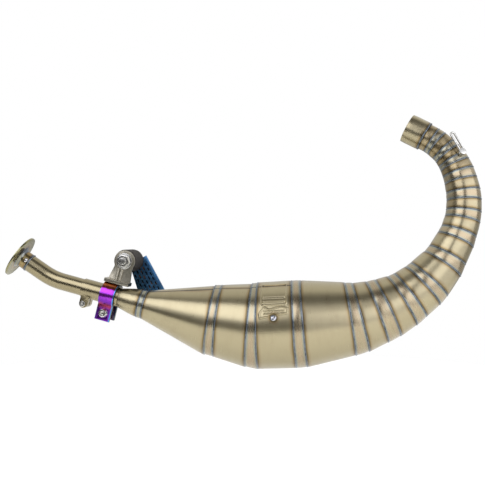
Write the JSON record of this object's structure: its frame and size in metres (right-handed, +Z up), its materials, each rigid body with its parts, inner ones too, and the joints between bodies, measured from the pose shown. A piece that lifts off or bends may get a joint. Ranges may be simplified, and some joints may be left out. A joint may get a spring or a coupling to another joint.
{
  "type": "racing exhaust system",
  "caption": "Two-stroke racing expansion chamber of welded mitred cones, with a slip header socket, clamped rubber-mounted hanger and a bent tail pipe ending in a flange.",
  "frame": {"origin": "centre of the header socket mouth", "axes": "+Z up as hung, +X towards the header bend and away from the tail flange, +Y away from the side that carries the clamp bolt head"},
  "size_m": [0.6762, 0.141, 0.3617],
  "materials": {
    "titanium": "brushed, welded sheet titanium",
    "steel_fasteners": "bright plated steel",
    "bright_bracket": "satin plate",
    "anodised_band": "purple anodised, glossy",
    "anodised_strip": "blue anodised, satin",
    "rubber": "matte"
  },
  "bodies": {
    "chamber": {"header_socket": "titanium", "header_cone_1": "titanium", "header_ring_1": "titanium", "header_cone_2": "titanium", "header_ring_2": "titanium", "header_cone_3": "titanium", "header_ring_3": "titanium", "header_cone_4": "titanium", "diffuser_ring_1": "titanium", "diffuser_cone_1": "titanium", "diffuser_ring_2": "titanium", "diffuser_cone_2": "titanium", "diffuser_ring_3": "titanium", "diffuser_cone_3": "titanium", "diffuser_ring_4": "titanium", "diffuser_cone_4": "titanium", "diffuser_ring_5": "titanium", "diffuser_cone_5": "titanium", "diffuser_ring_6": "titanium", "diffuser_cone_6": "titanium", "diffuser_ring_7": "titanium", "diffuser_cone_7": "titanium", "diffuser_ring_8": "titanium", "diffuser_cone_8": "titanium", "diffuser_ring_9": "titanium", "diffuser_cone_9": "titanium", "belly_ring_1": "titanium", "belly_drum": "titanium", "belly_ring_2": "titanium", "baffle_cone_1": "titanium", "baffle_ring_1": "titanium", "baffle_cone_2": "titanium", "baffle_ring_2": "titanium", "baffle_cone_3": "titanium", "baffle_cone_4": "titanium", "stinger_sleeve": "titanium", "pinch_bolt": "steel_fasteners", "pinch_nut": "steel_fasteners", "hook_boss": "steel_fasteners", "hook_wire": "steel_fasteners", "clamp_band": "anodised_band", "clamp_bolt": "steel_fasteners", "clamp_nut": "steel_fasteners", "clamp_spacer": "steel_fasteners", "bracket_plate": "bright_bracket"},
    "tail": {"tail_slip": "titanium", "tail_bend": "titanium", "tail_end": "titanium", "flange_neck": "titanium", "flange_disc": "titanium"},
    "hanger": {"rubber_bush": "rubber", "mount_stud": "steel_fasteners", "mount_nut_front": "steel_fasteners", "mount_nut_rear": "steel_fasteners", "hanger_strip": "anodised_strip"}
  },
  "joints": [
    {"name": "tail_turn", "type": "hinge", "parent": "chamber", "child": "tail", "pos_m": [-0.46725, 0.00884, -0.23001], "axis": [-0.9587, 0.1392, 0.2479], "range_deg": [-15, 15]},
    {"name": "hanger_swing", "type": "hinge", "parent": "chamber", "child": "hanger", "pos_m": [-0.40087, 0.03992, -0.19123], "axis": [0.1437, 0.9896, 0], "range_deg": [-8, 8]}
  ]
}
